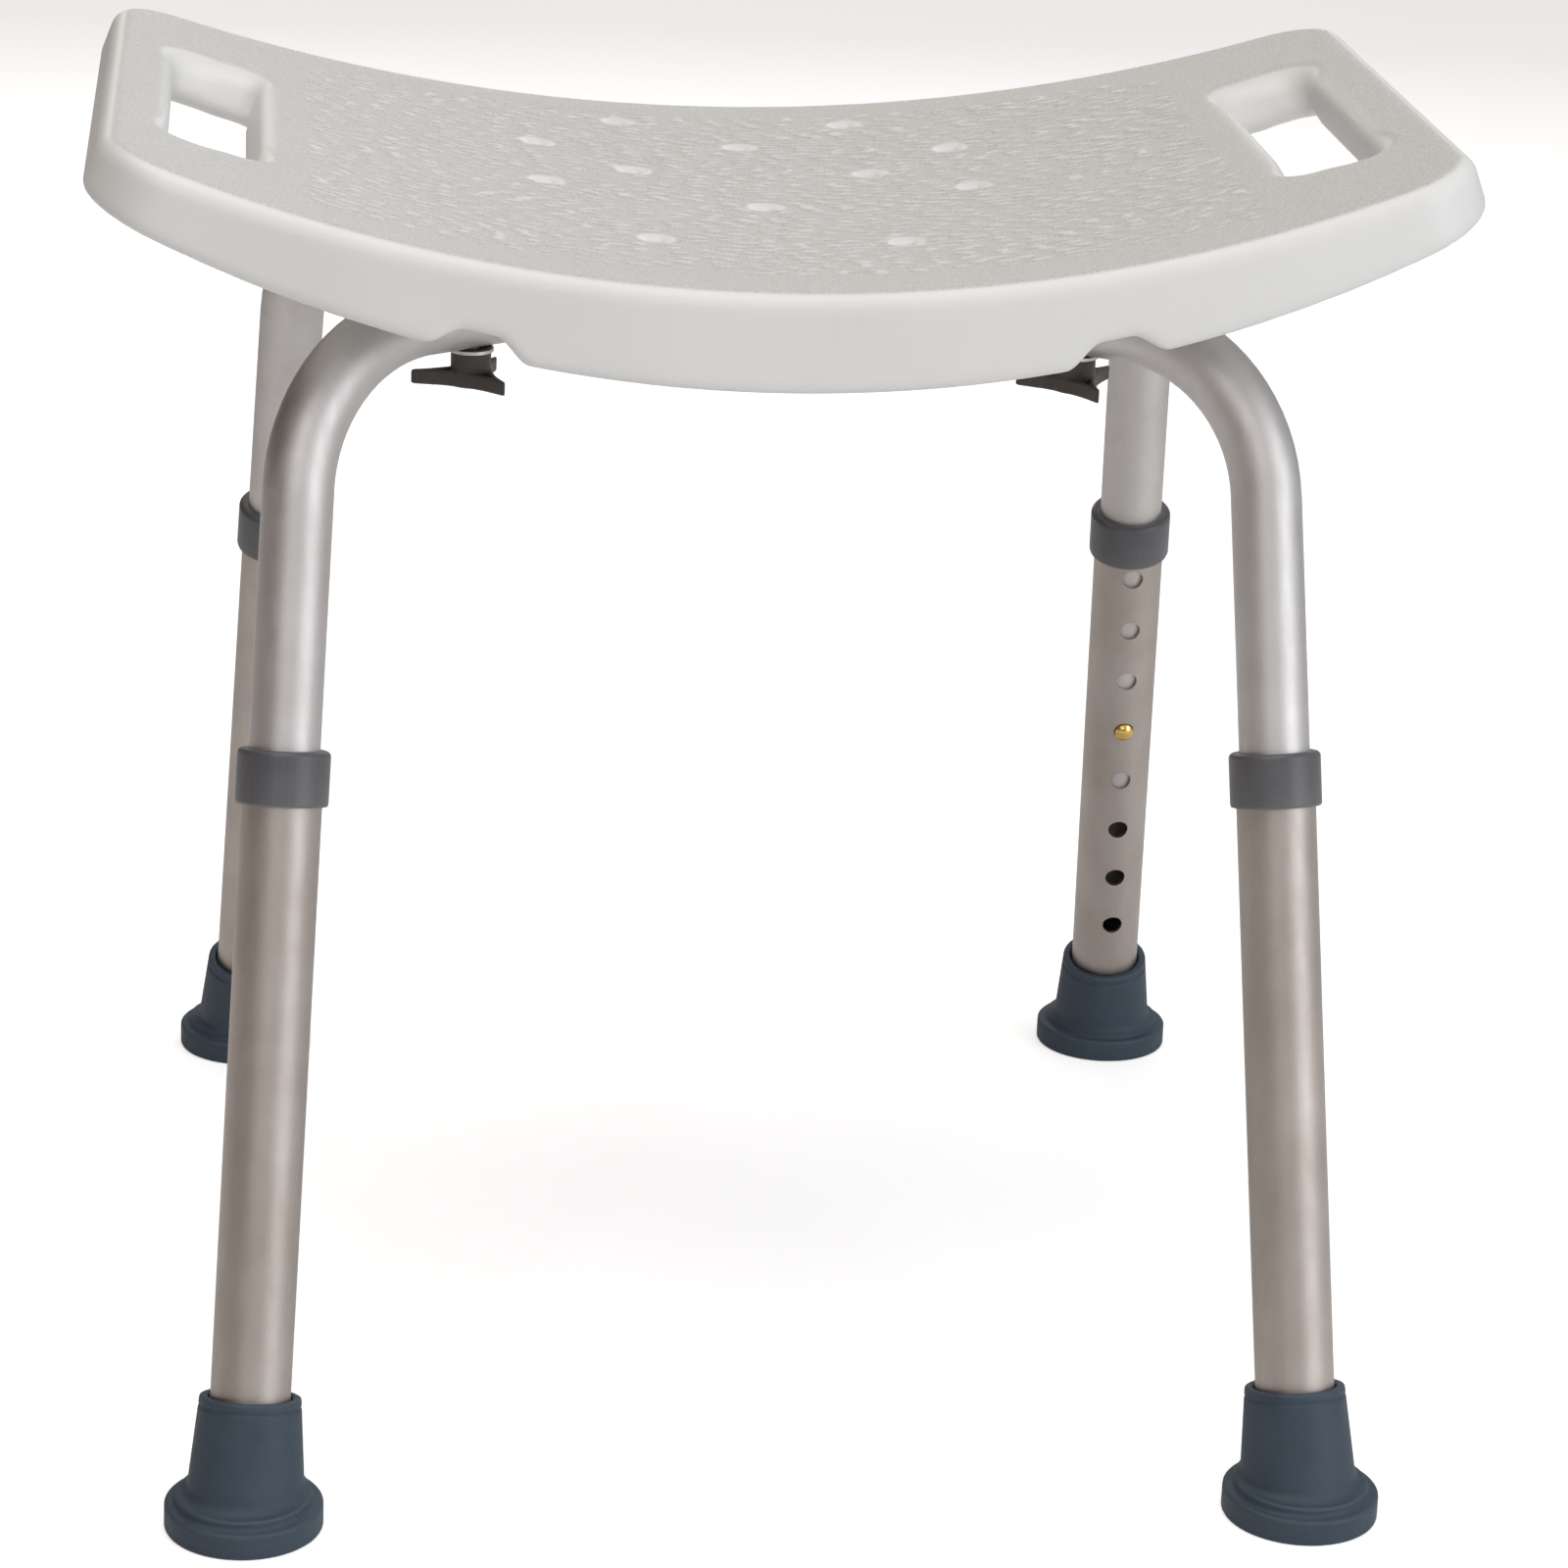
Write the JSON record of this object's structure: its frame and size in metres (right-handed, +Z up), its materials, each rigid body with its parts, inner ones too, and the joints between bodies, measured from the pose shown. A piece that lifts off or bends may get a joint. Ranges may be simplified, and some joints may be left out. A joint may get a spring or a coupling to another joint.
{
  "type": "shower stool",
  "caption": "Shower stool with a curved, textured plastic seat, hand grips and drain holes, on crossed tube frames with telescoping legs and rubber feet.",
  "frame": {"origin": "on the floor, under the centre of the seat", "axes": "+X along the seat towards its right-hand grip seen from the front, +Y to the back, +Z up"},
  "size_m": [0.4928, 0.5094, 0.4753],
  "materials": {
    "seat_plastic": "satin moulded, fine grain and a wavy relief on top",
    "frame_aluminium": "satin anodised",
    "leg_aluminium": "satin anodised",
    "insert_brass": "knurled",
    "fixing_steel": "zinc plated",
    "knob_plastic": "fine matt",
    "collar_plastic": "smooth satin",
    "button_brass": "turned",
    "spring_steel": "sprung strip",
    "foot_rubber": "smooth matt"
  },
  "bodies": {
    "stool_top": {"seat": "seat_plastic", "insert_fl": "insert_brass", "insert_fr": "insert_brass", "insert_rl": "insert_brass", "insert_rr": "insert_brass", "frame_a": "frame_aluminium", "frame_b": "frame_aluminium", "cross_bolt": "fixing_steel", "cross_washer": "fixing_steel", "cross_nut": "fixing_steel", "spring_fl": "spring_steel", "spring_fr": "spring_steel", "spring_rl": "spring_steel", "spring_rr": "spring_steel"},
    "lower_leg_fl": {"leg_fl": "leg_aluminium", "collar_fl": "collar_plastic", "foot_fl": "foot_rubber", "foot_washer_fl": "fixing_steel"},
    "snap_fl": {"button_fl": "button_brass"},
    "clamp_fl": {"knob_washer_fl": "fixing_steel"},
    "handknob_fl": {"knob_fl": "knob_plastic", "stud_fl": "fixing_steel"},
    "lower_leg_fr": {"leg_fr": "leg_aluminium", "collar_fr": "collar_plastic", "foot_fr": "foot_rubber", "foot_washer_fr": "fixing_steel"},
    "snap_fr": {"button_fr": "button_brass"},
    "clamp_fr": {"knob_washer_fr": "fixing_steel"},
    "handknob_fr": {"knob_fr": "knob_plastic", "stud_fr": "fixing_steel"},
    "lower_leg_rl": {"leg_rl": "leg_aluminium", "collar_rl": "collar_plastic", "foot_rl": "foot_rubber", "foot_washer_rl": "fixing_steel"},
    "snap_rl": {"button_rl": "button_brass"},
    "clamp_rl": {"knob_washer_rl": "fixing_steel"},
    "handknob_rl": {"knob_rl": "knob_plastic", "stud_rl": "fixing_steel"},
    "lower_leg_rr": {"leg_rr": "leg_aluminium", "collar_rr": "collar_plastic", "foot_rr": "foot_rubber", "foot_washer_rr": "fixing_steel"},
    "snap_rr": {"button_rr": "button_brass"},
    "clamp_rr": {"knob_washer_rr": "fixing_steel"},
    "handknob_rr": {"knob_rr": "knob_plastic", "stud_rr": "fixing_steel"}
  },
  "joints": [
    {"name": "leg_length_fl", "type": "slide", "parent": "stool_top", "child": "lower_leg_fl", "axis": [0.0497, 0.2574, 0.965], "range_m": [-0.0762, 0.0762]},
    {"name": "button_press_fl", "type": "slide", "parent": "stool_top", "child": "snap_fl", "axis": [0.0132, -0.9663, 0.257], "range_m": [0, 0.0042], "stiffness_N_per_m": 1800, "springref_m": -0.001, "deforming": ["spring_fl"]},
    {"name": "knob_travel_fl", "type": "slide", "parent": "stool_top", "child": "clamp_fl", "axis": [0, 0, -1], "range_m": [0, 0.0041]},
    {"name": "knob_turn_fl", "type": "hinge", "parent": "clamp_fl", "child": "handknob_fl", "pos_m": [-0.11, -0.07675, 0.385], "axis": [0, 0, -1], "range_deg": [0, 1500]},
    {"name": "leg_length_fr", "type": "slide", "parent": "stool_top", "child": "lower_leg_fr", "axis": [-0.0497, 0.2574, 0.965], "range_m": [-0.0762, 0.0762]},
    {"name": "button_press_fr", "type": "slide", "parent": "stool_top", "child": "snap_fr", "axis": [-0.0132, -0.9663, 0.257], "range_m": [0, 0.0042], "stiffness_N_per_m": 1800, "springref_m": -0.001, "deforming": ["spring_fr"]},
    {"name": "knob_travel_fr", "type": "slide", "parent": "stool_top", "child": "clamp_fr", "axis": [0, 0, -1], "range_m": [0, 0.0041]},
    {"name": "knob_turn_fr", "type": "hinge", "parent": "clamp_fr", "child": "handknob_fr", "pos_m": [0.11, -0.07675, 0.385], "axis": [0, 0, -1], "range_deg": [0, 1500]},
    {"name": "leg_length_rl", "type": "slide", "parent": "stool_top", "child": "lower_leg_rl", "axis": [0.0497, -0.2574, 0.965], "range_m": [-0.0762, 0.0762]},
    {"name": "button_press_rl", "type": "slide", "parent": "stool_top", "child": "snap_rl", "axis": [0.0132, 0.9663, 0.257], "range_m": [0, 0.0042], "stiffness_N_per_m": 1800, "springref_m": -0.001, "deforming": ["spring_rl"]},
    {"name": "knob_travel_rl", "type": "slide", "parent": "stool_top", "child": "clamp_rl", "axis": [0, 0, -1], "range_m": [0, 0.0041]},
    {"name": "knob_turn_rl", "type": "hinge", "parent": "clamp_rl", "child": "handknob_rl", "pos_m": [-0.11, 0.07675, 0.385], "axis": [0, 0, -1], "range_deg": [0, 1500]},
    {"name": "leg_length_rr", "type": "slide", "parent": "stool_top", "child": "lower_leg_rr", "axis": [-0.0497, -0.2574, 0.965], "range_m": [-0.0762, 0.0762]},
    {"name": "button_press_rr", "type": "slide", "parent": "stool_top", "child": "snap_rr", "axis": [-0.0132, 0.9663, 0.257], "range_m": [0, 0.0042], "stiffness_N_per_m": 1800, "springref_m": -0.001, "deforming": ["spring_rr"]},
    {"name": "knob_travel_rr", "type": "slide", "parent": "stool_top", "child": "clamp_rr", "axis": [0, 0, -1], "range_m": [0, 0.0041]},
    {"name": "knob_turn_rr", "type": "hinge", "parent": "clamp_rr", "child": "handknob_rr", "pos_m": [0.11, 0.07675, 0.385], "axis": [0, 0, -1], "range_deg": [0, 1500]}
  ],
  "couplings": [
    {"joint": "knob_turn_fl", "follows": "knob_travel_fl", "rad_per_m": 6283.2},
    {"joint": "knob_turn_fr", "follows": "knob_travel_fr", "rad_per_m": 6283.2},
    {"joint": "knob_turn_rl", "follows": "knob_travel_rl", "rad_per_m": 6283.2},
    {"joint": "knob_turn_rr", "follows": "knob_travel_rr", "rad_per_m": 6283.2}
  ]
}
